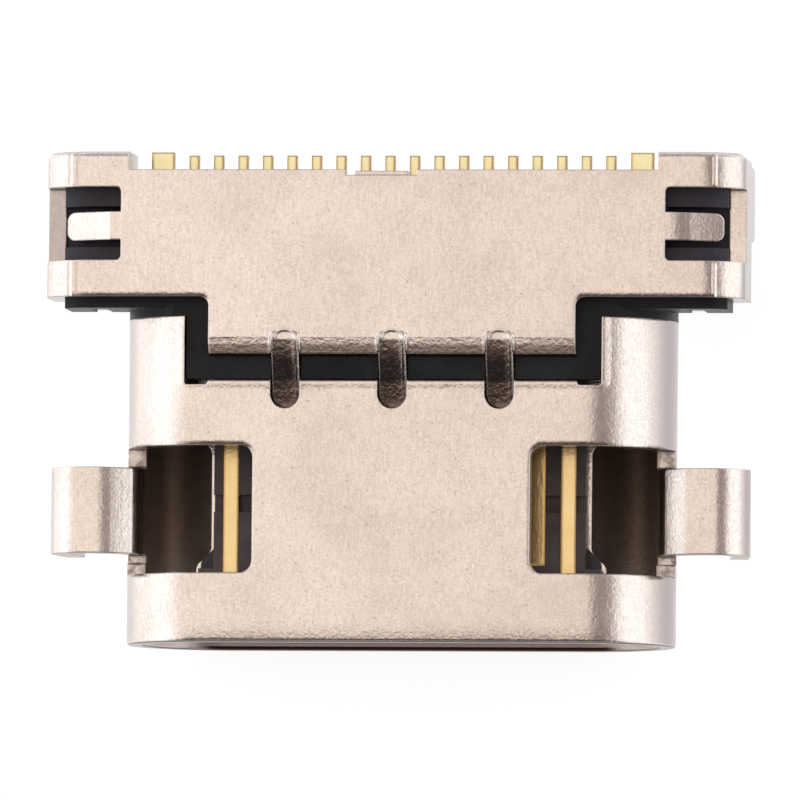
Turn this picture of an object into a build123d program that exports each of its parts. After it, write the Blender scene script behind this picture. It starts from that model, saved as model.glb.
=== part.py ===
from build123d import *

import os
from math import radians, tan

os.makedirs("parts", exist_ok=True)

# The frame: X across the mouth, Y from the mouth to the solder tails, Z up from the flat underside.
# Depths are measured back from the mouth, levels up from the middle of the mouth.

# Rear face of the housing, and how far the solder tails reach out of it
housing_rear = 7.45
tail_reach = 0.50
wide_tail_reach = 0.55
overall_depth = housing_rear + wide_tail_reach

# Front shell, drawn from one sheet to a seamless stadium
shell_width = 8.94
shell_height = 3.16
shell_wall = 0.30
shell_rear = 4.24
shoulder_end = 5.27
shoulder_inner = 3.39
corner_relief_width = 0.39
corner_relief_depth = 0.08
relief_corner = 0.05
mouth_edge_radius = 0.05

# Notches in the rear edge of the shell, one for each tongue of the cover
notch_pitch = 1.74
notch_width = 0.48
notch_end = 3.775
notch_roll = 0.06

# Side windows that leave the material of the legs
window_inner = 2.255
window_front = 1.12
window_rear = 3.18
window_corner = 0.20
window_sill = 0.15

# Through-hole legs of the shell
leg_width = 1.395
leg_front = 1.47
leg_front_slit = 0.14
leg_rear_slit = 0.03
leg_root_bend = 0.56
leg_crown = 0.87
leg_outer = 5.70
leg_knee_bend = 0.33
leg_slant = 8
leg_tip = -0.75

# Board that the connector is soldered to: its top face
board_level = 0.25

# Rear cover, stamped and bent
cover_sheet = 0.28
cover_top = 1.70
cover_front = 4.62
cover_centre_width = 5.96
cover_inner_corner = 0.15
cover_rear = 7.63
ear_outer = 5.68
ear_front = 5.575
ear_rear = 7.93
ear_fold = 5.24
ear_slope = 42
ear_fold_bend = 0.80
ear_side_bend = 0.02
ear_rear_roll = 0.14
ear_flange_inner = 4.30
ear_flange_level = 0.55
ear_leg_front = 6.58
ear_leg_rear = 7.77
ear_leg_tip = -0.25
ear_leg_corner = 0.20
stub_centre = -0.19
stub_width = 0.86
stub_recess_width = 1.17
stub_recess_depth = 0.09
stub_length = 0.07

# Latch windows in the ears and the tabs bent down in them
latch_inner = 4.42
latch_front = 6.163
latch_rear = 7.347
latch_corner = 0.08
latch_sill = 1.02
tab_width = 0.455
tab_centre = 6.72
tab_fold = 4.60
tab_tip = 5.34
tab_drop = 0.40
tab_bend = 0.72
tab_corner = 0.14
tab_side_gap = 0.10

# Tongues of the cover that seat in the notches of the shell
tongue_clearance = 0.02
tongue_sheet = 0.10
tongue_start = 5.02
tongue_knee = 4.22
tongue_knee_drop = 0.28
tongue_tip_drop = 0.37
tongue_bend = 0.20
tongue_trough = 0.03
tongue_lip = 0.05

# Moulded housing behind the shell
fit_gap = 0.01
tab_pocket_level = 0.95
roof_gap = 0.02
plug_depth = 6.20
wing_front = 5.41
wing_gap = 0.02
wing_bevel = 0.08
core_pocket = 0.30
core_width = 1.80
core_pitch = 2.40
core_length = 0.70

# Tongue insulator with its root block
blade_half_height = 0.35
blade_half_width = 3.03
blade_front = 0.70
blade_tip_bevel = 0.12
blade_head_half_width = 3.28
blade_head_end = 1.25
root_step = 5.15
root_half_height = 0.60
root_half_width = 3.30
block_half_width = 4.20
recess_front = 2.165
recess_rear = 2.441
recess_depth = 0.12

# Mid-plate, the stamped latch and ground sheet inside the tongue
plate_sheet = 0.15
plate_front = 0.76
plate_half_width = 3.345
plate_waist = 3.10
waist_front = 1.42
waist_rear = 3.30
waist_flare = 0.24
plate_rear = 6.85
web_inner = 4.00
web_front = 6.30
web_rear = 6.60
arm_level = 1.00
arm_outer = 4.977
arm_width = 0.25
foot_recess = 0.03
plate_bend = 0.06
waist_corner = 0.18

# Ground plates on the root of the tongue
ground_sheet = 0.10
ground_half_width = 3.10
ground_lip = 0.22
ground_bend = 0.05
ground_end_gap = 0.05

# Contacts: upper and lower rows, one tail each, ground and power joined over both rows
contact_sheet = 0.15
contact_width = 0.25
contact_pitch = 0.50
contact_proud = 0.01
contact_tip_bevel = 0.06
signal_front = 1.26
power_front = 0.95
fan_length = 0.90
rise_inset = 0.45
rise_length = 0.15
tail_pitch = 0.40
tail_width = 0.16
wide_tail_width = 0.37
wide_tail_place = 3.91

mid = shell_height / 2
beyond = 1.0
roof_level = cover_top - cover_sheet - fit_gap
ear_inner = ear_outer - cover_sheet
tongue_width = notch_width - 2 * tongue_clearance
rise_front = housing_rear - rise_inset


def along(depth):
    # place on Y of a depth behind the mouth
    return depth - overall_depth / 2


def up(level):
    # height above the underside of a level measured from the middle of the mouth
    return level + mid


def across(depth):
    # plane across the connector, seen from the mouth
    return Plane.XZ.offset(-along(depth))


def finish(piece, name):
    piece.part.label = name
    export_step(piece.part, f"parts/{name}.step")


def strip_outline(points, inside_radii, thickness):
    # closed outline of a bent sheet, to the left of its path, or to the right where thickness is negative
    corners = [Vector(*point) for point in points]
    runs = [(b - a).normalized() for a, b in zip(corners, corners[1:])]
    normals = [Vector(-run.Y, run.X) for run in runs]
    far_side = [corners[0] + normals[0] * thickness]
    near_radii = []
    far_radii = []
    for i, inside in enumerate(inside_radii):
        before, after = normals[i], normals[i + 1]
        far_side.append(corners[i + 1] + (before + after) * (thickness / (1 + before.dot(after))))
        turn = runs[i].X * runs[i + 1].Y - runs[i].Y * runs[i + 1].X
        sheet_inside = turn * thickness > 0
        near_radii.append(inside + abs(thickness) if sheet_inside else inside)
        far_radii.append(inside if sheet_inside else inside + abs(thickness))
    far_side.append(corners[-1] + normals[-1] * thickness)
    FilletPolyline(*corners, radius=near_radii)
    FilletPolyline(*far_side, radius=far_radii)
    Line(corners[0], far_side[0])
    Line(corners[-1], far_side[-1])


def leg_outline(side):
    # one staple-shaped leg, starting on the vertical part of the shell's side wall
    wall_inner = shell_width / 2 - shell_wall
    crown = up(leg_crown)
    outer_radius = leg_knee_bend + shell_wall
    knee = leg_outer + outer_radius * (tan(radians(90 + leg_slant) / 2) - 1)
    lean = (crown - up(leg_tip)) * tan(radians(leg_slant))
    points = [
        (side * wall_inner, up(0)),
        (side * wall_inner, crown),
        (side * knee, crown),
        (side * (knee - lean), up(leg_tip)),
    ]
    strip_outline(points, [leg_root_bend, leg_knee_bend], -side * shell_wall)


def ear_section(inset):
    # outline across the ears of the cover, moved inwards by inset: flat top, folded sides and plumb walls
    fold = ear_fold - inset * tan(radians(ear_slope) / 2)
    wall = ear_outer - inset
    wall_top = cover_top - (ear_outer - ear_fold) * tan(radians(ear_slope))
    wall_top = wall_top - inset * tan(radians(90 - ear_slope) / 2)
    half = FilletPolyline(
        (0, up(cover_top - inset)),
        (fold, up(cover_top - inset)),
        (wall, up(wall_top)),
        (wall, up(ear_leg_tip - inset)),
        radius=[ear_fold_bend + cover_sheet - inset, max(ear_side_bend + cover_sheet - inset, fit_gap)],
    )
    base = Line(half @ 1, (0, up(ear_leg_tip - inset)))
    mirror([half, base], about=Plane.YZ)


with BuildPart() as front_shell:
    with BuildSketch(across(0)):
        with Locations((0, mid)):
            SlotOverall(shell_width, shell_height)
            SlotOverall(shell_width - 2 * shell_wall, shell_height - 2 * shell_wall, mode=Mode.SUBTRACT)
    extrude(amount=-shoulder_end)
    # rear cut-out of the top wall, with a rolled edge and corner reliefs
    with BuildSketch(Plane.XY.offset(shell_height)):
        with Locations((0, along(shell_rear))):
            Rectangle(2 * shoulder_inner, shoulder_end, align=(Align.CENTER, Align.MIN))
    extrude(amount=-mid, mode=Mode.SUBTRACT)
    rear_edge = front_shell.edges().filter_by(Axis.X).filter_by_position(
        Axis.Y, along(shell_rear) - fit_gap, along(shell_rear) + fit_gap
    )
    fillet(rear_edge.sort_by(Axis.Z)[-1], notch_roll)
    with BuildSketch(Plane.XY.offset(shell_height)):
        relief_place = shoulder_inner - corner_relief_width / 2
        with Locations((relief_place, along(shell_rear)), (-relief_place, along(shell_rear))):
            RectangleRounded(corner_relief_width, 2 * corner_relief_depth, relief_corner)
    extrude(amount=-mid, mode=Mode.SUBTRACT)
    # notches for the cover's tongues
    with BuildSketch(Plane.XY.offset(shell_height)):
        notch_length = 2 * (shell_rear - notch_end)
        with Locations(*[(i * notch_pitch, along(shell_rear)) for i in (-1, 0, 1)]):
            SlotOverall(notch_length, notch_width, rotation=90)
    extrude(amount=-mid, mode=Mode.SUBTRACT)
    # windows through the round sides
    for side in (-1, 1):
        with BuildSketch(Plane.XY.offset(shell_height)):
            with Locations((side * window_inner, along((window_front + window_rear) / 2))):
                reach = Rectangle(
                    shell_width / 2,
                    window_rear - window_front,
                    align=(Align.MIN if side > 0 else Align.MAX, Align.CENTER),
                )
            corners = reach.vertices().sort_by(Axis.X)
            fillet(corners[:2] if side > 0 else corners[-2:], window_corner)
        extrude(amount=-(mid - window_sill), mode=Mode.SUBTRACT)
        # slits beside the leg, down to its root
        with BuildSketch(Plane.XY.offset(up(window_sill))):
            slit_front = leg_front - leg_front_slit
            slit_rear = leg_front + leg_width + leg_rear_slit
            with Locations((side * shell_width / 2, along((slit_front + slit_rear) / 2))):
                Rectangle(4 * shell_wall, slit_rear - slit_front)
        extrude(amount=-window_sill, mode=Mode.SUBTRACT)
        # leg bent out of the wall
        with BuildSketch(across(leg_front)):
            with BuildLine():
                leg_outline(side)
            make_face()
        extrude(amount=-leg_width)
    mouth_edges = front_shell.faces().sort_by(Axis.Y)[0].edges()
    fillet(mouth_edges, mouth_edge_radius)

finish(front_shell, "front_shell")


with BuildPart() as cover_cavity:
    # the space inside the bent cover
    with BuildSketch(across(cover_front + cover_sheet)):
        with BuildLine():
            ear_section(cover_sheet)
        make_face()
    extrude(amount=-(ear_rear - cover_front - 2 * cover_sheet))


with BuildPart() as latch_tab:
    # one tab, bent down in the window of the ear on the +X side
    with BuildSketch(across(tab_centre - tab_width / 2)):
        with BuildLine():
            tab_path = [
                (latch_inner - cover_sheet, up(cover_top)),
                (tab_fold, up(cover_top)),
                (tab_tip, up(cover_top - tab_drop)),
            ]
            strip_outline(tab_path, [tab_bend], -cover_sheet)
        make_face()
    extrude(amount=-tab_width)
    with BuildSketch(Plane.XY.offset(up(cover_top))):
        with Locations((tab_tip, along(tab_centre))):
            tab_length = 2 * (tab_tip - latch_inner)
            RectangleRounded(tab_length, tab_width, tab_corner, align=(Align.MAX, Align.CENTER))
    extrude(amount=-(tab_drop + 2 * cover_sheet), mode=Mode.INTERSECT)


with BuildPart() as cover_tongue:
    # one trough-shaped tongue, on the middle plane
    with BuildLine(Plane.YZ):
        FilletPolyline(
            (along(tongue_start + tongue_width), up(cover_top)),
            (along(tongue_start - tongue_width / 4), up(cover_top)),
            (along(tongue_knee), up(cover_top - tongue_knee_drop)),
            (along(notch_end), up(cover_top - tongue_tip_drop)),
            radius=tongue_bend,
        )
    with BuildSketch(across(tongue_start + tongue_width)):
        with Locations((0, up(cover_top))):
            Rectangle(tongue_width, tongue_sheet + tongue_trough, align=(Align.CENTER, Align.MAX))
        with BuildLine():
            trough_half = tongue_width / 2 - tongue_lip
            ThreePointArc(
                (-trough_half, up(cover_top)),
                (0, up(cover_top - tongue_trough)),
                (trough_half, up(cover_top)),
            )
            Line((-trough_half, up(cover_top)), (trough_half, up(cover_top)))
        make_face(mode=Mode.SUBTRACT)
    sweep()
    with BuildSketch(Plane.XY.offset(up(cover_top))):
        with Locations((0, along(notch_end + tongue_clearance))):
            SlotOverall(3 * tongue_start, tongue_width, rotation=90, align=(Align.MIN, Align.CENTER))
    extrude(amount=-mid, mode=Mode.INTERSECT)


with BuildPart() as rear_cover:
    # outer form of the ears and of the centre part that reaches over the shell
    with BuildSketch(across(ear_front)):
        with BuildLine():
            ear_section(0)
        make_face()
    extrude(amount=-(ear_rear - ear_front))
    rear_rim = rear_cover.faces().sort_by(Axis.Y)[-1].edges().sort_by(Axis.Z)[1:]
    fillet(rear_rim, ear_rear_roll)
    with BuildSketch(Plane.YZ):
        with BuildLine():
            front_bend = cover_top - roof_level
            Polyline(
                (along(cover_front), up(roof_level)),
                (along(ear_front + cover_inner_corner), up(roof_level)),
                (along(ear_front + cover_inner_corner), up(cover_top)),
                (along(cover_front + front_bend), up(cover_top)),
            )
            RadiusArc(
                (along(cover_front + front_bend), up(cover_top)),
                (along(cover_front), up(roof_level)),
                -front_bend,
            )
        make_face()
    extrude(amount=cover_centre_width / 2, both=True)
    add(cover_cavity.part, mode=Mode.SUBTRACT)
    # rear edge between the two flanges, with the recess of the carrier strip
    with BuildSketch(Plane.XY.offset(up(cover_top))):
        with Locations((0, along(cover_rear))):
            Rectangle(2 * ear_flange_inner, beyond, align=(Align.CENTER, Align.MIN))
        with Locations((stub_centre, along(cover_rear))):
            Rectangle(stub_recess_width, 2 * stub_recess_depth)
    extrude(amount=-2 * mid, mode=Mode.SUBTRACT)
    # lower edges of the rear flanges and of the side walls, beside the solder legs
    with BuildSketch(across(ear_rear)):
        with Locations((0, up(ear_flange_level))):
            Rectangle(2 * ear_inner, 2 * mid, align=(Align.CENTER, Align.MAX))
    extrude(amount=2 * cover_sheet, mode=Mode.SUBTRACT)
    with BuildSketch(Plane.YZ):
        for leg_edge, outside in ((ear_leg_front, Align.MAX), (ear_leg_rear, Align.MIN)):
            with Locations((along(leg_edge), up(board_level))):
                Rectangle(ear_front, 2 * mid, align=(outside, Align.MAX))
    extrude(amount=2 * ear_outer, both=True, mode=Mode.SUBTRACT)
    leg_corners = rear_cover.edges().filter_by(Axis.X).filter_by_position(
        Axis.Z, up(ear_leg_tip) - fit_gap, up(ear_leg_tip) + fit_gap
    )
    fillet(leg_corners, ear_leg_corner)
    # latch windows and slots for the tongues
    with BuildSketch(Plane.XY.offset(up(cover_top))):
        window_width = 2 * (ear_outer - latch_inner)
        with Locations(*[(side * ear_outer, along((latch_front + latch_rear) / 2)) for side in (-1, 1)]):
            RectangleRounded(window_width, latch_rear - latch_front, latch_corner)
    extrude(amount=-(cover_top - latch_sill), mode=Mode.SUBTRACT)
    with BuildSketch(Plane.XY.offset(up(cover_top))):
        with Locations(*[(i * notch_pitch, along(tongue_start)) for i in (-1, 0, 1)]):
            SlotOverall(3 * notch_width, tongue_width, rotation=90, align=(Align.MAX, Align.CENTER))
    extrude(amount=-mid, mode=Mode.SUBTRACT)
    add(latch_tab.part)
    mirror(latch_tab.part, about=Plane.YZ)
    with Locations(*[(i * notch_pitch, 0, 0) for i in (-1, 0, 1)]):
        add(cover_tongue.part)
    with BuildSketch(Plane.XY.offset(up(roof_level + fit_gap))):
        with Locations((stub_centre, along(cover_rear - stub_recess_depth))):
            Rectangle(stub_width, stub_length, align=(Align.CENTER, Align.MIN))
    extrude(amount=cover_sheet - tongue_trough)
    inner_corners = rear_cover.edges().filter_by(Axis.Z).filter_by_position(
        Axis.Y, along(ear_front) - fit_gap, along(ear_front) + fit_gap
    )
    inner_corners = inner_corners.filter_by(lambda e: abs(abs(e.center().X) - cover_centre_width / 2) < fit_gap)
    fillet(inner_corners, cover_inner_corner)

finish(rear_cover, "rear_cover")


with BuildPart() as mid_plate:
    # flat sheet in the tongue, with the latch recess on both sides, and its root in the housing
    with BuildSketch(Plane.XY.offset(up(-plate_sheet / 2))) as plate_plan:
        with BuildLine():
            half = Polyline(
                (0, along(plate_front)),
                (plate_half_width, along(plate_front)),
                (plate_half_width, along(waist_front - waist_flare / 2)),
                (plate_waist, along(waist_front + waist_flare / 2)),
                (plate_waist, along(waist_rear - waist_flare / 2)),
                (plate_half_width, along(waist_rear + waist_flare / 2)),
                (plate_half_width, along(web_front)),
                (web_inner, along(web_front)),
                (web_inner, along(web_rear)),
                (plate_half_width, along(web_rear)),
                (plate_half_width, along(plate_rear)),
                (0, along(plate_rear)),
            )
            mirror(half, about=Plane.YZ)
        make_face()
        waist = plate_plan.vertices().filter_by(
            lambda v: along(plate_front) + fit_gap < v.Y < along(waist_rear) + waist_flare
        )
        fillet(waist, waist_corner)
    extrude(amount=plate_sheet)
    with BuildSketch(across(web_front)):
        with BuildLine():
            web_path = [
                (plate_waist, up(-plate_sheet / 2)),
                (web_inner + plate_sheet, up(-plate_sheet / 2)),
                (web_inner + plate_sheet, up(arm_level - plate_sheet)),
                (arm_outer, up(arm_level - plate_sheet)),
            ]
            strip_outline(web_path, [plate_bend, plate_bend], plate_sheet)
        make_face()
    web = extrude(amount=-(web_rear - web_front))
    with BuildSketch(Plane.YZ.offset(arm_outer - arm_width)):
        with BuildLine():
            foot_front = wing_front + foot_recess
            foot_path = [
                (along(web_rear), up(arm_level)),
                (along(foot_front), up(arm_level)),
                (along(foot_front), up(board_level)),
            ]
            strip_outline(foot_path, [plate_bend], plate_sheet)
        make_face()
    foot = extrude(amount=arm_width)
    mirror([web, foot], about=Plane.YZ)

finish(mid_plate, "mid_plate")


def contact_finger(place, tail_place, top, front, end_width, end):
    # one stamped finger: contact beam, fan-out to the tail pitch, rise to the board and solder tail
    with BuildPart() as finger:
        with BuildSketch(Plane.YZ):
            with BuildLine():
                path = [
                    (along(front), up(top)),
                    (along(rise_front), up(top)),
                    (along(rise_front + rise_length), up(board_level + contact_sheet)),
                    (along(end), up(board_level + contact_sheet)),
                ]
                underside = [(y, z - contact_sheet) for y, z in path]
                Polyline(*path, *reversed(underside), close=True)
            make_face()
        extrude(amount=shell_width, both=True)
        with BuildSketch(Plane.XY):
            with BuildLine():
                half_beam = contact_width / 2
                half_end = end_width / 2
                fan_rear = along(rise_front)
                fan_front = fan_rear - fan_length
                Polyline(
                    (place - half_beam, along(front)),
                    (place - half_beam, fan_front),
                    (tail_place - half_end, fan_rear),
                    (tail_place - half_end, along(end)),
                    (tail_place + half_end, along(end)),
                    (tail_place + half_end, fan_rear),
                    (place + half_beam, fan_front),
                    (place + half_beam, along(front)),
                    close=True,
                )
            make_face()
        extrude(amount=shell_height, mode=Mode.INTERSECT)
        tip = finger.edges().filter_by(Axis.X).group_by(Axis.Y)[0].sort_by(Axis.Z)
        chamfer(tip[-1] if top > 0 else tip[0], contact_tip_bevel)
    return finger.part


upper_top = blade_half_height + contact_proud
lower_top = -upper_top + contact_sheet

# the pieces on the +X side: name, rows, place in units of the contact pitch, tail in units of the tail pitch
signal_fan = [
    ("outer_lower", lower_top, 4.5, 8.5),
    ("outer_upper", upper_top, 4.5, 7.5),
    ("middle_lower", lower_top, 3.5, 6.5),
    ("middle_upper", upper_top, 3.5, 5.5),
    ("inner_lower", lower_top, 1.5, 3.5),
    ("inner_upper", upper_top, 1.5, 2.5),
    ("centre_lower", lower_top, 0.5, 1.5),
    ("centre_upper", upper_top, 0.5, 0.5),
]
contacts = []
for side, side_name in ((-1, "left"), (1, "right")):
    for name, top, place, tail in signal_fan:
        with BuildPart() as signal_contact:
            add(
                contact_finger(
                    side * place * contact_pitch,
                    side * tail * tail_pitch,
                    top,
                    signal_front,
                    tail_width,
                    housing_rear + tail_reach,
                )
            )
        contacts.append(signal_contact.part)
        finish(signal_contact, f"contact_{name}_{side_name}")
    for name, place, tail, end_width, end in (
        ("ground", 5.5 * contact_pitch, wide_tail_place, wide_tail_width, overall_depth),
        ("power", 2.5 * contact_pitch, 4.5 * tail_pitch, tail_width, housing_rear + tail_reach),
    ):
        with BuildPart() as joined_contact:
            for top in (upper_top, lower_top):
                add(contact_finger(side * place, side * tail, top, power_front, end_width, end))
        contacts.append(joined_contact.part)
        finish(joined_contact, f"contact_{name}_{side_name}")


with BuildPart() as tongue_insulator:
    # tongue blade with its wider head
    with BuildSketch(Plane.XY.offset(up(-blade_half_height))):
        with Locations((0, along(blade_front))):
            Rectangle(2 * blade_half_width, root_step - blade_front, align=(Align.CENTER, Align.MIN))
            Rectangle(2 * blade_head_half_width, blade_head_end - blade_front, align=(Align.CENTER, Align.MIN))
    extrude(amount=2 * blade_half_height)
    blade_tip = tongue_insulator.faces().sort_by(Axis.Y)[0].edges().filter_by(Axis.X)
    chamfer(blade_tip, blade_tip_bevel)
    # cross grooves that bare the sides of the contacts
    with BuildSketch(Plane.YZ):
        for level in (blade_half_height, -blade_half_height):
            with Locations((along((recess_front + recess_rear) / 2), up(level))):
                Rectangle(recess_rear - recess_front, 2 * recess_depth)
    extrude(amount=blade_half_width, both=True, mode=Mode.SUBTRACT)
    # root of the tongue and the block that the housing holds
    with BuildSketch(across(root_step)):
        with Locations((0, mid)):
            Rectangle(2 * root_half_width, 2 * root_half_height)
    extrude(amount=-(plug_depth - root_step))
    step_edges = tongue_insulator.edges().filter_by(Axis.X).filter_by_position(
        Axis.Y, along(root_step) - fit_gap, along(root_step) + fit_gap
    )
    fillet(step_edges.group_by(Axis.Z)[0] + step_edges.group_by(Axis.Z)[-1], ground_bend)
    with BuildSketch(across(plug_depth)):
        with Locations((0, mid)):
            Rectangle(2 * block_half_width, 2 * root_half_height)
    extrude(amount=-(housing_rear - plug_depth))
    for metal in [mid_plate.part] + contacts:
        add(metal, mode=Mode.SUBTRACT)

finish(tongue_insulator, "tongue_insulator")


with BuildPart() as upper_ground_plate:
    with BuildSketch(Plane.YZ):
        with BuildLine():
            plate_top = root_half_height + ground_sheet
            ground_path = [
                (along(plug_depth - ground_end_gap), up(plate_top)),
                (along(root_step - ground_sheet), up(plate_top)),
                (along(root_step - ground_sheet), up(plate_top - ground_lip)),
            ]
            strip_outline(ground_path, [ground_bend], ground_sheet)
        make_face()
    extrude(amount=ground_half_width, both=True)

with BuildPart() as lower_ground_plate:
    mirror(upper_ground_plate.part, about=Plane.XY.offset(mid))

finish(upper_ground_plate, "upper_ground_plate")
finish(lower_ground_plate, "lower_ground_plate")


with BuildPart() as housing:
    # wings on the board, inside the ears of the cover, with a bevelled front edge
    with BuildSketch(across(wing_front)):
        with BuildLine():
            ear_section(cover_sheet + fit_gap)
        make_face()
        with Locations((0, up(board_level + wing_gap))):
            Rectangle(2 * shell_width, shell_height, align=(Align.CENTER, Align.MAX), mode=Mode.SUBTRACT)
    extrude(amount=-(housing_rear - wing_front))
    with BuildSketch(Plane.YZ):
        with BuildLine():
            Polyline(
                (along(wing_front), up(roof_level)),
                (along(wing_front + wing_bevel), up(roof_level)),
                (along(wing_front), up(roof_level - wing_bevel)),
                close=True,
            )
        make_face()
    extrude(amount=shell_width, both=True, mode=Mode.SUBTRACT)
    # collar and base, with the outline of the shell below and flat under the cover
    with BuildSketch(across(shoulder_end)):
        with Locations((0, mid)):
            SlotOverall(shell_width, shell_height)
        with Locations((0, up(roof_level))):
            Rectangle(2 * shell_width, shell_height, align=(Align.CENTER, Align.MIN), mode=Mode.SUBTRACT)
    extrude(amount=-(housing_rear - shoulder_end))
    # roof in the rear cut-out of the shell
    with BuildSketch(across(shell_rear + roof_gap)):
        with Locations((0, up(roof_level))):
            Rectangle(2 * (shoulder_inner - roof_gap), roof_level, align=(Align.CENTER, Align.MAX))
    extrude(amount=-(shoulder_end - shell_rear - roof_gap))
    # space for the plug
    with BuildSketch(across(shell_rear)):
        with Locations((0, mid)):
            SlotOverall(shell_width - 2 * shell_wall, shell_height - 2 * shell_wall)
    extrude(amount=-(plug_depth - shell_rear), mode=Mode.SUBTRACT)
    # slots under the tongues of the cover, and pockets under its latch tabs
    with BuildSketch(Plane.XY.offset(up(roof_level))):
        with Locations(*[(i * notch_pitch, along(tongue_start)) for i in (-1, 0, 1)]):
            Rectangle(notch_width, tongue_start, align=(Align.CENTER, Align.MAX))
    extrude(amount=-mid, mode=Mode.SUBTRACT)
    with BuildSketch(Plane.XY.offset(up(roof_level))):
        for side in (-1, 1):
            with Locations((side * ear_inner, along(tab_centre))):
                Rectangle(2 * (ear_inner - latch_inner), tab_width + 2 * tab_side_gap)
    extrude(amount=-(roof_level - tab_pocket_level), mode=Mode.SUBTRACT)
    # slots in the wing fronts for the feet of the mid-plate
    with BuildSketch(across(wing_front)):
        for side in (-1, 1):
            with Locations((side * (arm_outer - arm_width / 2), up(board_level))):
                Rectangle(arm_width, arm_level - board_level, align=(Align.CENTER, Align.MIN))
    extrude(amount=-foot_recess, mode=Mode.SUBTRACT)
    # core pockets in the underside of the base
    with BuildSketch(Plane.XY):
        core_place = (plug_depth + housing_rear) / 2
        with Locations(*[(i * core_pitch, along(core_place)) for i in (-1, 0, 1)]):
            Rectangle(core_width, core_length)
    extrude(amount=core_pocket, mode=Mode.SUBTRACT)
    for inner in [tongue_insulator.part, mid_plate.part] + contacts:
        add(inner, mode=Mode.SUBTRACT)

finish(housing, "housing")
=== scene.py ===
import math

import bpy
from mathutils import Matrix, Vector

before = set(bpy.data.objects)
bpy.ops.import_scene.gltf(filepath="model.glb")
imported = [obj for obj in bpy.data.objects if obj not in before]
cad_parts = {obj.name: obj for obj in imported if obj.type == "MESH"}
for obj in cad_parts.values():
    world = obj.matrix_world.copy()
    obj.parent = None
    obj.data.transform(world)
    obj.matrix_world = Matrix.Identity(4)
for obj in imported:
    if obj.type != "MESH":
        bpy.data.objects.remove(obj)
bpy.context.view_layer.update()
mm = 0.001
mouthDepth = 4  # the mouth lies this far in front of the origin, in millimetres
midHeight = 1.58  # height of the mouth's middle above the flat underside, in millimetres


def say(text):
    print("charging port:", text)


# Camera: a long lens from above, tilted a little to the right and to the front
cameraSettings = {
    "target": (-0.0515 * mm, 0.008 * mm, midHeight * mm),
    "distance": 300 * mm,
    "tiltRight": 0.11784,
    "tiltFront": 0.062,
    "roll": 0.0095,
    "sensor": 36,
    "lens": 832.7,
    "clip": (0.01, 20),
}


def makeCamera(look):
    tiltRight, tiltFront, roll = look["tiltRight"], look["tiltFront"], look["roll"]
    back = Vector((
        math.sin(tiltRight),
        -math.sin(tiltFront) * math.cos(tiltRight),
        math.cos(tiltFront) * math.cos(tiltRight),
    ))
    right = Vector((0, 1, 0)).cross(back).normalized()
    up = back.cross(right)
    turnedRight = right * math.cos(roll) + up * math.sin(roll)
    turnedUp = up * math.cos(roll) - right * math.sin(roll)
    data = bpy.data.cameras.new("camera")
    data.sensor_width = look["sensor"]
    data.lens = look["lens"]
    data.clip_start, data.clip_end = look["clip"]
    camera = bpy.data.objects.new("camera", data)
    eye = Vector(look["target"]) + back * look["distance"]
    turn = Matrix((turnedRight, turnedUp, back)).transposed().to_4x4()
    camera.matrix_world = Matrix.Translation(eye) @ turn
    bpy.context.scene.collection.objects.link(camera)
    bpy.context.scene.camera = camera


makeCamera(cameraSettings)
say("camera set")


# Shader maths: a socket with the operators that the materials use
class Wire:
    def __init__(self, tree, socket=None):
        self.tree = tree
        self.socket = socket

    def node(self, kind, settings, inputs, output=0):
        made = self.tree.nodes.new(kind)
        for name, value in settings.items():
            setattr(made, name, value)
        for name, value in inputs.items():
            if isinstance(value, Wire):
                self.tree.links.new(value.socket, made.inputs[name])
            else:
                made.inputs[name].default_value = value
        return Wire(self.tree, made.outputs[output])

    def maths(self, operation, *values):
        return self.node("ShaderNodeMath", {"operation": operation}, dict(enumerate((self,) + values)))

    def __add__(self, other):
        return self.maths("ADD", other)

    def __radd__(self, other):
        return self.maths("ADD", other)

    def __sub__(self, other):
        return self.maths("SUBTRACT", other)

    def __rsub__(self, other):
        return self.node("ShaderNodeMath", {"operation": "SUBTRACT"}, {0: other, 1: self})

    def __mul__(self, other):
        return self.maths("MULTIPLY", other)

    def __rmul__(self, other):
        return self.maths("MULTIPLY", other)

    def __pow__(self, other):
        return self.maths("POWER", other)

    def __abs__(self):
        return self.maths("ABSOLUTE")

    def atLeast(self, low):
        return self.maths("MAXIMUM", low)

    def atMost(self, high):
        return self.maths("MINIMUM", high)

    def clamped(self, low, high):
        return self.atLeast(low).atMost(high)

    def length(self, other):
        return (self * self + other * other) ** 0.5

    # masks: a smooth step up, a stretch with soft ends outside it, and a soft line
    def between(self, low, high):
        settings = {"interpolation_type": "SMOOTHSTEP"}
        inputs = {"Value": self, "From Min": low, "From Max": high}
        return self.node("ShaderNodeMapRange", settings, inputs)

    def inside(self, low, high, soft):
        return self.between(low - soft, low) * (1 - self.between(high, high + soft))

    def line(self, place, width):
        return 1 - abs(self - place).between(0, width)

    # height lost towards an edge, from the distance to it
    def rolled(self, width, steep):
        return (width - self.atLeast(0)).atLeast(0) ** 2 * (steep / 2 / width)

    def mixColors(self, first, second):
        inputs = {0: self, 6: first, 7: second}
        return self.node("ShaderNodeMix", {"data_type": "RGBA"}, inputs, 2)

    def part(self, name):
        return self.node("ShaderNodeSeparateXYZ", {}, {0: self}, name)

    def stretch(self, factors):
        return self.node("ShaderNodeVectorMath", {"operation": "MULTIPLY"}, {0: self, 1: factors})

    def dot(self, other):
        return self.node("ShaderNodeVectorMath", {"operation": "DOT_PRODUCT"}, {0: self, 1: other}, "Value")

    def noise(self, scale, detail=2.0):
        return self.node("ShaderNodeTexNoise", {}, {"Vector": self, "Scale": scale, "Detail": detail})


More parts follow.
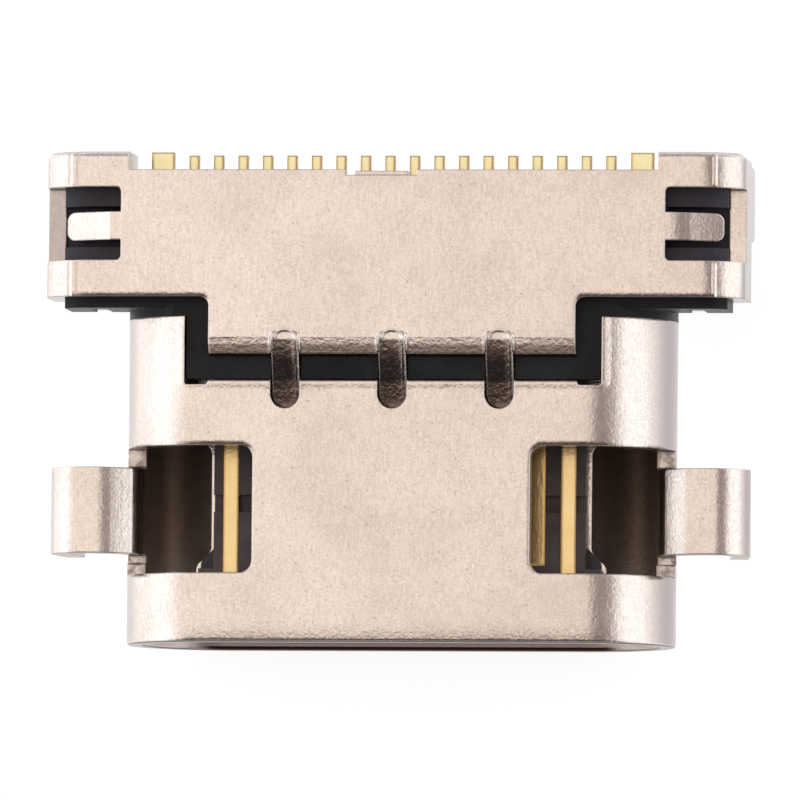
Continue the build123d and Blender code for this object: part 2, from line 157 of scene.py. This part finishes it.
def newMaterial(name):
    material = bpy.data.materials.new(name)
    material.use_nodes = True
    tree = material.node_tree
    tree.nodes.clear()
    out = tree.nodes.new("ShaderNodeOutputMaterial")
    return material, Wire(tree), out


def finishMaterial(material, shader, out):
    material.node_tree.links.new(shader.socket, out.inputs["Surface"])
    return material


# Soft studio: a white tent that is dim towards the front and has one dim strip on the right.
# The edges are in degrees from the top, first to the start and then to the end of each change.
studio = {
    "top": (0.965, 0.87, 0.80, 1),
    "side": (1.26, 1.27, 1.28, 1),
    "leftEdge": (44, 66),
    "rightEdge": (46, 58),
    "strip": (0.31, 0.27, 0.262, 1),
    "stripStart": (16, 26),
    "stripEnd": (36, 60),
    "rearLow": (0.42, 0.39, 0.40, 1),
    "rearEdge": (38, 58),
    "front": (0.15, 0.10, 0.08, 1),
    "frontEdge": (6, 17),
    "frontLow": (0.015, 0.012, 0.012, 1),
    "frontLowEdge": (15, 32),
    "frontEnd": (0.40, 0.37, 0.36, 1),
    "frontEndEdge": (46, 62),
    "frontWidth": (0.5, 0.85),
    "ground": (0.86, 0.85, 0.86, 1),
    "horizon": (-0.03, 0.02),
    "camera": (1, 1, 1, 1),
}


def makeWorld(look):
    world = bpy.data.worlds.new("studio")
    world.use_nodes = True
    tree = world.node_tree
    tree.nodes.clear()
    out = tree.nodes.new("ShaderNodeOutputWorld")
    start = Wire(tree)
    direction = start.node("ShaderNodeTexCoord", {}, {}, "Generated")
    x = direction.part("X")
    y = direction.part("Y")
    z = direction.part("Z")
    degrees = 180 / math.pi
    turnRight = x.maths("ARCTAN2", z) * degrees
    turnFront = (y * -1).maths("ARCSINE") * degrees
    color = (turnRight * -1).between(*look["leftEdge"]).mixColors(look["top"], look["side"])
    color = turnRight.between(*look["rightEdge"]).mixColors(color, look["side"])
    strip = turnRight.between(*look["stripStart"]) * (1 - turnRight.between(*look["stripEnd"]))
    color = strip.mixColors(color, look["strip"])
    color = (turnFront * -1).between(*look["rearEdge"]).mixColors(color, look["rearLow"])
    ahead = 1 - abs(x).between(*look["frontWidth"])
    color = (turnFront.between(*look["frontEdge"]) * ahead).mixColors(color, look["front"])
    color = (turnFront.between(*look["frontLowEdge"]) * ahead).mixColors(color, look["frontLow"])
    color = turnFront.between(*look["frontEndEdge"]).mixColors(color, look["frontEnd"])
    color = (z * -1).between(*look["horizon"]).mixColors(color, look["ground"])
    seen = start.node("ShaderNodeLightPath", {}, {}, "Is Camera Ray")
    color = seen.mixColors(color, look["camera"])
    light = start.node("ShaderNodeBackground", {}, {"Color": color, "Strength": 1.0})
    tree.links.new(light.socket, out.inputs["Surface"])
    bpy.context.scene.world = world


floorLook = {"color": (0.40, 0.40, 0.40, 1), "glowColor": (1, 1, 1, 1), "glow": 0.86, "half": 2.0}


def makeFloor(look):
    material, start, out = newMaterial("paleFloor")
    base = start.node("ShaderNodeBsdfDiffuse", {}, {"Color": look["color"]})
    glow = start.node("ShaderNodeEmission", {}, {"Color": look["glowColor"], "Strength": look["glow"]})
    shader = start.node("ShaderNodeAddShader", {}, {0: base, 1: glow})
    finishMaterial(material, shader, out)
    half = look["half"]
    mesh = bpy.data.meshes.new("floor")
    corners = [(-half, -half, 0), (half, -half, 0), (half, half, 0), (-half, half, 0)]
    mesh.from_pydata(corners, [], [(0, 1, 2, 3)])
    mesh.materials.append(material)
    floor = bpy.data.objects.new("floor", mesh)
    bpy.context.scene.collection.objects.link(floor)


bpy.context.scene.view_settings.view_transform = "Standard"
makeWorld(studio)
makeFloor(floorLook)
say("studio lit")


# What every material reads: the place on the part in millimetres, a normal that is rounded at the
# edges, and a mask of those edges
def surface(start, edgeRadius):
    place = start.node("ShaderNodeTexCoord", {}, {}, "Object").stretch((1 / mm, 1 / mm, 1 / mm))
    rounded = start.node("ShaderNodeBevel", {"samples": 6}, {"Radius": edgeRadius * mm})
    flat = start.node("ShaderNodeNewGeometry", {}, {}, "True Normal")
    edge = (1 - rounded.dot(flat)).between(0.02, 0.2)
    return place, rounded, edge


def depthOf(place):
    # from the mouth towards the tails
    return place.part("Y") + mouthDepth


def bumped(start, height, normal):
    # height in millimetres
    inputs = {"Strength": 1.0, "Distance": mm, "Height": height, "Normal": normal}
    return start.node("ShaderNodeBump", {}, inputs)


# Nickel plating on the shell, the cover and the sheets in the tongue.
# Textures are a scale and an amount, and heights are in millimetres here and below.
nickelLook = {
    "pale": (1.0, 0.93, 0.885, 1),
    "dull": (0.76, 0.68, 0.63, 1),
    "clouds": (0.6, 0.35),
    "speckles": (24, 0.55),
    "drawn": ((34, 8, 34), 0.4),
    "paintedShadeTowardsRight": 0.4,
    "warm": (0.92, 0.83, 0.73, 1),
    "warmSpots": (3.2, 0.45),
    # the pit colour also paints the shade lines along the creases of the cover's left ear
    "pitAndCreaseShadeColor": (0.45, 0.36, 0.30, 1),
    "pits": (14, 0.5),
    "flankShade": (0.44, 0.39, 0.395, 1),
    "rightFlankShade": (0.74, 0.96),
    "leftFlankShade": (0.80, 0.98),
    "leftFlankShadeAmount": 0.75,
    "rearFlankShade": (0.5, 0.9),
    "rearFlankShadeAmount": 0.8,
    "shade": (0.12, 0.075, 0.055, 1),
    "insideShade": (0.54, 0.46, 0.42, 1),
    "roughness": 0.20,
    "insideRoughness": 0.34,
    "edgeRadius": 0.04,
    "peel": (9, 0.0024),
    "grain": (22, 0.0034),
    "scratches": ((30, 3, 3), 0.0008),
}


def nickelHeight(place, look):
    peelScale, peel = look["peel"]
    grainScale, grain = look["grain"]
    scratchScale, scratch = look["scratches"]
    height = place.noise(peelScale, 1.0) * peel + place.noise(grainScale) * grain
    return height + place.stretch(scratchScale).noise(1.0, 1.0) * scratch


def nickelColor(place, rounded, look, shadeOf):
    cloudScale, clouds = look["clouds"]
    speckleScale, speckles = look["speckles"]
    drawnScale, drawn = look["drawn"]
    dullness = place.noise(cloudScale).between(0.35, 0.7) * clouds
    dullness = dullness + place.noise(speckleScale).between(0.3, 0.7) * speckles
    dullness = dullness + place.stretch(drawnScale).noise(1.0, 1.0).between(0.3, 0.7) * drawn
    # painted light and shade: paler towards the left, duller towards the right
    dullness = dullness + (place.part("X").between(-5, 5) - 0.5) * look["paintedShadeTowardsRight"]
    color = dullness.mixColors(look["pale"], look["dull"])
    warmScale, warm = look["warmSpots"]
    color = (place.noise(warmScale, 3.0).between(0.45, 0.7) * warm).mixColors(color, look["warm"])
    right = rounded.part("X")
    rear = rounded.part("Y")
    pitScale, pits = look["pits"]
    onFlat = 1 - abs(right).between(0.1, 0.3)
    pitted = place.noise(pitScale, 1.0).between(0.68, 0.76) * onFlat
    color = (pitted * pits).mixColors(color, look["pitAndCreaseShadeColor"])
    # painted shade down the walls and on the rear faces, and the darkest painted shade on the stamped faces that
    # look forwards
    leftFlankShade = (right * -1).between(*look["leftFlankShade"]) * look["leftFlankShadeAmount"]
    rearFlankShade = rear.between(*look["rearFlankShade"]) * look["rearFlankShadeAmount"]
    flankShade = right.between(*look["rightFlankShade"]).atLeast(leftFlankShade).atLeast(rearFlankShade)
    color = flankShade.mixColors(color, look["flankShade"])
    low, high, amount = shadeOf
    return ((rear * -1).between(low, high) * amount).mixColors(color, look["shade"])


def unevenRoughness(place, roughness):
    return place.noise(5) * 0.08 + (roughness - 0.04)


def metalShader(start, color, metallic, roughness, normal):
    inputs = {"Base Color": color, "Metallic": metallic, "Roughness": roughness, "Normal": normal}
    return start.node("ShaderNodeBsdfPrincipled", {}, inputs)


# Shell: depths run from the mouth, halves are distances from its middle plane
shellShape = {
    "top": (2.0, 2.4),
    "shadeOf": (0.40, 0.85, 1.0),
    "rear": 4.24,
    "cutHalf": 3.39,
    "notchPitch": 1.74,
    "notchHalf": 0.24,
    "besideNotch": (3.895, 4.14),
    "burr": 0.011,
    "burrReach": (0.03, 0.17),
    "flare": 0.013,
    "flareReach": (0.02, 0.12),
    "lipWidth": 0.38,
    "lipSteep": 0.15,
    "windowInner": 2.255,
    "window": (1.12, 3.18),
    "windowCorner": 0.20,
    "windowRollWidth": 0.10,
    "windowRollSteep": 0.38,
    "legCrown": 5.03,
    "legRadius": 0.86,
    "legRoot": (0.36, 0.69),
    "legSlope": 0.50,
    "legCurve": 0.42,
    "leg": (1.47, 2.865),
    "legHeight": (1.8, 2.5),
    "legStart": (4.2, 4.25),
    "roundHalf": 2.89,
    "skin": (1.30, 1.36),
    "frontSlit": (1.14, 1.45),
    "rearSlit": (2.885, 3.16),
    "slitSoft": 0.04,
    "slitShade": (0.30, 0.26, 0.245, 1),
    "torn": 0.7,
    "faceDepth": (0.02, 0.05),
    "lowerLip": (-1.25, -1.15),
    "lowerLipDepth": (0.055, 0.075),
    "mouthFloor": (-1.0, -0.8),
    "mouthShadeStart": (0.10, 0.135),
    "mouthShadeEnd": (0.18, 0.32),
    "mouthShade": 0.85,
    "rimShade": (0.055, 0.037, 0.030, 1),
}


def shellHeight(place, shape):
    half = abs(place.part("X"))
    depth = depthOf(place)
    # burr round the stamped rear edge, flared beside its notches
    fromCut = (half - shape["cutHalf"]).atLeast(0).length((shape["rear"] - depth).atLeast(0))
    burr = (1 - fromCut.between(*shape["burrReach"])) * shape["burr"]
    fromNotch = half.atMost(abs(half - shape["notchPitch"])) - shape["notchHalf"]
    flare = (1 - fromNotch.between(*shape["flareReach"])) * depth.between(*shape["besideNotch"]) * shape["flare"]
    # fall of the lip towards the mouth
    lip = depth.rolled(shape["lipWidth"], shape["lipSteep"])
    # rolled edge round the windows
    front, back = shape["window"]
    corner = shape["windowCorner"]
    aside = (shape["windowInner"] + corner - half).atLeast(0)
    beyondWindow = (depth - (back - corner)).atLeast(front + corner - depth).atLeast(0)
    fromWindow = aside.length(beyondWindow) - corner
    roll = fromWindow.rolled(shape["windowRollWidth"], shape["windowRollSteep"])
    # the roots of the legs are pressed flatter than a round bend
    radius = shape["legRadius"]
    low, high = shape["legRoot"]
    into = (shape["legCrown"] - half).clamped(low, high)
    sag = radius - (radius * radius - into * into) ** 0.5
    beyond = into - low
    pressed = sag - beyond * (beyond * shape["legCurve"] + shape["legSlope"])
    onLeg = half.between(*shape["legStart"]) * depth.inside(*shape["leg"], 0.01)
    onLeg = onLeg * place.part("Z").inside(*shape["legHeight"], 0.1)
    return (burr + flare - roll) * place.part("Z").between(*shape["top"]) - lip + pressed * onLeg


def makeShellNickel(look, shape):
    material, start, out = newMaterial("shellNickel")
    place, rounded, edge = surface(start, look["edgeRadius"])
    normal = bumped(start, nickelHeight(place, look) + shellHeight(place, shape), rounded)
    color = nickelColor(place, rounded, look, shape["shadeOf"])
    x = place.part("X")
    z = place.part("Z") - midHeight
    half = abs(x)
    depth = depthOf(place)
    # painted shade on the sheared metal in the slits beside the legs, broken up by noise
    soft = shape["slitSoft"]
    inSlit = depth.inside(*shape["frontSlit"], soft) + depth.inside(*shape["rearSlit"], soft)
    low = half.between(4.12, 4.20) * (1 - half.between(4.45, 4.52)) * (1 - z.between(0.4, 0.7))
    torn = place.noise(7).between(0.35, 0.62) * shape["torn"]
    color = (inSlit * low * (1 - torn)).mixColors(color, shape["slitShade"])
    # painted shade on the inner walls: they lie nearer to the middle than the outer skin
    roundHalf = shape["roundHalf"]
    fromMiddle = (x - x.clamped(-roundHalf, roundHalf)).length(z)
    inner = 1 - fromMiddle.between(*shape["skin"])
    color = inner.mixColors(color, look["insideShade"])
    # painted shade on the rim of the mouth, and on its floor in the shade of the upper wall
    face = (rounded.part("Y") * -1).between(0.5, 0.85) * (1 - depth.between(*shape["faceDepth"]))
    lowerLip = (1 - z.between(*shape["lowerLip"])) * (1 - depth.between(*shape["lowerLipDepth"]))
    shaded = depth.between(*shape["mouthShadeStart"]) * (1 - depth.between(*shape["mouthShadeEnd"]))
    shaded = shaded * (1 - z.between(*shape["mouthFloor"])) * shape["mouthShade"]
    color = face.atLeast(lowerLip).atLeast(shaded).mixColors(color, shape["rimShade"])
    rougher = look["insideRoughness"] - look["roughness"]
    roughness = unevenRoughness(place, look["roughness"]) + inner * rougher
    return finishMaterial(material, metalShader(start, color, 1.0, roughness, normal), out)


shellNickel = makeShellNickel(nickelLook, shellShape)
say("shell plated")

# Cover: depths and halves as above
coverShape = {
    "shadeOf": (0.22, 0.48, 0.64),
    "latchWindow": (6.16, 7.35),
    "latchWindowSoft": 0.06,
    "fold": 5.215,
    "foldWidth": 0.05,
    "foldHeight": 0.009,
    "earFront": 5.475,
    "earInner": 3.10,
    "earCorner": 0.1,
    "rollWidth": 0.10,
    "rollSteep": 0.32,
    "bendStart": 4.92,
    "bendRadius": 0.30,
    "bendReach": 0.26,
    "bendSlope": 0.12,
    "bendCurve": 0.14,
    "bendEnd": 0.069,
    "early": (4.82, 5.08),
    "earlyDrop": 0.010,
    "crystals": (13, 0.007),
    "crystalsEnd": (4.86, 5.02),
    "tonguePitch": 1.74,
    "tongueHalf": 0.235,
    "tongueEdge": (0.205, 0.255),
    "tongueStart": 5.02,
    "tongueReach": 0.60,
    "tongueSlope": 0.33,
    "ridge": 0.015,
    "ridgeWidth": 0.055,
    "archCentre": 4.80,
    "tab": (6.49, 6.95),
    "tabFold": 4.60,
    "tabTip": (5.37, 5.38),
    "tabReach": 0.74,
    "tabLift": 0.09,
    "tabFall": 0.26,
    "tipDepth": (4.16, 4.30),
    "tipHeight": (3.02, 3.10),
    "tipShade": 0.75,
    "sill": (6.18, 7.33),
    "sillStart": (5.37, 5.40),
    "sillShade": (0.53, 0.48, 0.475, 1),
    "creases": (5.145, 5.285),
    "creaseWidth": 0.035,
    "creaseShadeAmount": 0.45,
}


def onEars(depth, shape):
    return 1 - depth.inside(*shape["latchWindow"], shape["latchWindowSoft"])


def coverHeight(place, shape):
    x = place.part("X")
    half = abs(x)
    depth = depthOf(place)
    # raised line of the ear folds, and rolled front edges of the ears
    fold = half.line(shape["fold"], shape["foldWidth"]) * onEars(depth, shape) * shape["foldHeight"]
    aside = (shape["earInner"] - half).atLeast(0)
    fromEdge = aside.length((depth - shape["earFront"]).atLeast(0)) - shape["earCorner"]
    roll = fromEdge.rolled(shape["rollWidth"], shape["rollSteep"])
    # easier front bend with crystals of plating on it
    radius = shape["bendRadius"]
    into = (shape["bendStart"] - depth).clamped(0, shape["bendReach"])
    bend = radius - (radius * radius - into * into) ** 0.5
    bend = bend - into * (into * shape["bendCurve"] + shape["bendSlope"])
    bend = bend + (into * (1 / radius)) ** 7 * shape["bendEnd"]
    early = depth.between(*shape["early"]) * shape["earlyDrop"]
    crystalScale, crystalHeight = shape["crystals"]
    crystals = place.noise(crystalScale) * (1 - depth.between(*shape["crystalsEnd"])) * crystalHeight
    # easier start of the tongues, and their raised sides
    fromTongue = half.atMost(abs(half - shape["tonguePitch"]))
    along = (shape["tongueStart"] - depth).clamped(0, shape["tongueReach"])
    steep = shape["tongueSlope"]
    slope = along * (steep - along * (steep / 2 / shape["tongueReach"]))
    onTongue = 1 - fromTongue.between(*shape["tongueEdge"])
    eased = bend * (1 - onTongue) + slope * onTongue
    arch = fromTongue.length((depth - shape["archCentre"]).atLeast(0))
    ridge = arch.line(shape["tongueHalf"], shape["ridgeWidth"]) * shape["ridge"]
    # the tab of the right ear lies a little flatter and that of the left ear hangs lower
    onTab = depth.inside(*shape["tab"], 0.01) * (1 - half.between(*shape["tabTip"]))
    lift = (x - shape["tabFold"]).clamped(0, shape["tabReach"]) ** 2 * shape["tabLift"]
    drop = (x * -1 - shape["tabFold"]).clamped(0, shape["tabReach"]) * shape["tabFall"]
    return fold + eased + early + crystals + ridge + (lift - drop) * onTab - roll


def makeCoverNickel(look, shape):
    material, start, out = newMaterial("coverNickel")
    place, rounded, edge = surface(start, look["edgeRadius"])
    normal = bumped(start, nickelHeight(place, look) + coverHeight(place, shape), rounded)
    color = nickelColor(place, rounded, look, shape["shadeOf"])
    left = place.part("X") * -1
    depth = depthOf(place)
    # painted shade on the tongue tips down in the notches
    tip = (1 - depth.between(*shape["tipDepth"])) * (1 - place.part("Z").between(*shape["tipHeight"]))
    color = (tip * shape["tipShade"]).mixColors(color, look["shade"])
    # painted shade on the sill of the left ear, and painted shade lines along the creases of its fold
    sill = left.between(*shape["sillStart"]) * depth.inside(*shape["sill"], 0.04)
    color = (sill * (place.noise(9) * 0.5 + 0.6)).mixColors(color, shape["sillShade"])
    # painted shade lines along the two creases of the fold
    near, far = shape["creases"]
    creaseShade = left.line(near, shape["creaseWidth"]) + left.line(far, shape["creaseWidth"])
    creaseShade = creaseShade * onEars(depth, shape) * shape["creaseShadeAmount"]
    color = creaseShade.mixColors(color, look["pitAndCreaseShadeColor"])
    roughness = unevenRoughness(place, look["roughness"])
    return finishMaterial(material, metalShader(start, color, 1.0, roughness, normal), out)


coverNickel = makeCoverNickel(nickelLook, coverShape)
say("cover plated")

# The latch sheet carries a film of resin, all but its edge in the windows and its feet
plateShape = {
    "edgeRadius": 0.02,
    "shadeOf": (0.25, 0.75, 1.0),
    "waist": 3.10,
    "flareEnd": 1.66,
    "flare": 0.24,
    "rim": 0.065,
    "flareRim": 0.05,
    "flareRimDepth": (1.55, 0.25),
    "filmStart": (1.0, 1.08),
    "armHalf": (4.0, 4.2),
    "armDepth": (5.6, 5.8),
    "armHeight": (2.2, 2.4),
    "resin": (0.03, 0.028, 0.032, 1),
    "resinRoughness": 0.45,
}


def makePlateNickel(look, shape):
    material, start, out = newMaterial("plateNickel")
    place, rounded, edge = surface(start, shape["edgeRadius"])
    normal = bumped(start, nickelHeight(place, look), rounded)
    color = nickelColor(place, rounded, look, shape["shadeOf"])
    half = abs(place.part("X"))
    depth = depthOf(place)
    outline = (shape["flareEnd"] - depth).clamped(0, shape["flare"]) + shape["waist"]
    rim = depth.line(*shape["flareRimDepth"]) * shape["flareRim"] + shape["rim"]
    inFilm = (outline - half - rim).between(-0.01, 0.02) * depth.between(*shape["filmStart"])
    onArm = half.between(*shape["armHalf"]) * depth.between(*shape["armDepth"])
    onArm = onArm * place.part("Z").between(*shape["armHeight"])
    film = inFilm.atLeast(onArm)
    color = film.mixColors(color, shape["resin"])
    rougher = shape["resinRoughness"] - look["roughness"]
    roughness = unevenRoughness(place, look["roughness"]) + film * rougher
    return finishMaterial(material, metalShader(start, color, 1 - film, roughness, normal), out)


plateNickel = makePlateNickel(nickelLook, plateShape)
say("tongue sheets plated")

# Gold on the contacts, palest on the tails, with painted shade on their flanks and edges
goldLook = {
    "tail": (1.0, 0.97, 0.60, 1),
    "tailStart": (3.0, 3.4),
    "bright": (1.0, 0.79, 0.42, 1),
    "deep": (0.95, 0.69, 0.31, 1),
    "clouds": (2.5, 0.4),
    "speckles": (20, 0.4),
    "flankShadeColor": (0.50, 0.25, 0.07, 1),
    "flankShade": (0.03, 0.5),
    "roughness": 0.24,
    "edgeRadius": 0.07,
    "drawn": (14, 2, 14),
    "grain": (16, 0.0022),
}


def makeGold(look):
    material, start, out = newMaterial("goldContact")
    place, rounded, edge = surface(start, look["edgeRadius"])
    drawn = place.stretch(look["drawn"]).noise(1.0)
    grainScale, grain = look["grain"]
    normal = bumped(start, (drawn + place.noise(grainScale)) * grain, rounded)
    cloudScale, clouds = look["clouds"]
    speckleScale, speckles = look["speckles"]
    deepness = place.noise(cloudScale).between(0.35, 0.7) * clouds
    deepness = deepness + place.noise(speckleScale).between(0.3, 0.7) * speckles
    color = deepness.mixColors(look["bright"], look["deep"])
    onTail = place.part("Y").between(*look["tailStart"])
    color = (onTail * (1 - deepness * 0.5)).mixColors(color, look["tail"])
    # painted shade on the rounded flanks and edges
    flankShade = abs(rounded.part("X")).between(*look["flankShade"]).atLeast(edge)
    color = flankShade.mixColors(color, look["flankShadeColor"])
    roughness = drawn * 0.12 + (look["roughness"] - 0.06)
    return finishMaterial(material, metalShader(start, color, 1.0, roughness, normal), out)


gold = makeGold(goldLook)
say("contacts gilded")

# Moulded resins: black for the housing, and a browner one for the tongue
housingLook = {
    "dark": (0.006, 0.0055, 0.007, 1),
    "dusty": (0.020, 0.019, 0.024, 1),
    "rearColor": (0.012, 0.0115, 0.014, 1),
    "edgeColor": (0.050, 0.047, 0.056, 1),
    "pocketSheen": (0.052, 0.049, 0.066, 1),
    "roughness": 0.45,
}
tongueLook = {
    "dark": (0.085, 0.070, 0.072, 1),
    "dusty": (0.140, 0.118, 0.122, 1),
    "rearColor": (0.018, 0.017, 0.019, 1),
    "edgeColor": (0.170, 0.150, 0.152, 1),
    "pocketSheen": (0.070, 0.058, 0.060, 1),
    "roughness": 0.42,
}
resinSurface = {
    "edgeRadius": 0.02,
    "fineScale": 30,
    "waveScale": 3,
    "grain": 0.0018,
    "dustScale": 1.6,
    "rear": (0.8, 1.2),
    "pocketHalf": (4.2, 4.4),
    "pocketStart": (1.9, 2.1),
    "edgeAmount": 0.6,
    "specular": 0.25,
}


def makeResin(name, look, shape):
    material, start, out = newMaterial(name)
    place, rounded, edge = surface(start, shape["edgeRadius"])
    y = place.part("Y")
    height = (place.noise(shape["fineScale"]) + place.noise(shape["waveScale"], 1.0)) * shape["grain"]
    normal = bumped(start, height, rounded)
    dust = place.noise(shape["dustScale"], 3.0).between(0.35, 0.75)
    color = dust.mixColors(look["dark"], look["dusty"])
    color = y.between(*shape["rear"]).mixColors(color, look["rearColor"])
    # painted sheen in the pockets under the latch tabs, greyer and bluish, broken up by noise
    pocket = abs(place.part("X")).between(*shape["pocketHalf"]) * y.between(*shape["pocketStart"])
    grain = place.noise(12) * 0.3 + 0.75
    color = (pocket * grain).mixColors(color, look["pocketSheen"])
    color = (edge * shape["edgeAmount"]).mixColors(color, look["edgeColor"])
    inputs = {
        "Base Color": color,
        "Roughness": place.noise(7, 3.0) * 0.2 + (look["roughness"] - 0.1),
        "Normal": normal,
        "Specular IOR Level": shape["specular"],
    }
    return finishMaterial(material, start.node("ShaderNodeBsdfPrincipled", {}, inputs), out)


finishes = {
    "front_shell": shellNickel,
    "rear_cover": coverNickel,
    "housing": makeResin("housingResin", housingLook, resinSurface),
    "tongue_insulator": makeResin("tongueResin", tongueLook, resinSurface),
}
say("resins moulded")

for name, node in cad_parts.items():
    finish = gold if name.startswith("contact_") else finishes.get(name, plateNickel)
    node.data.materials.clear()
    node.data.materials.append(finish)
say("finishes given")
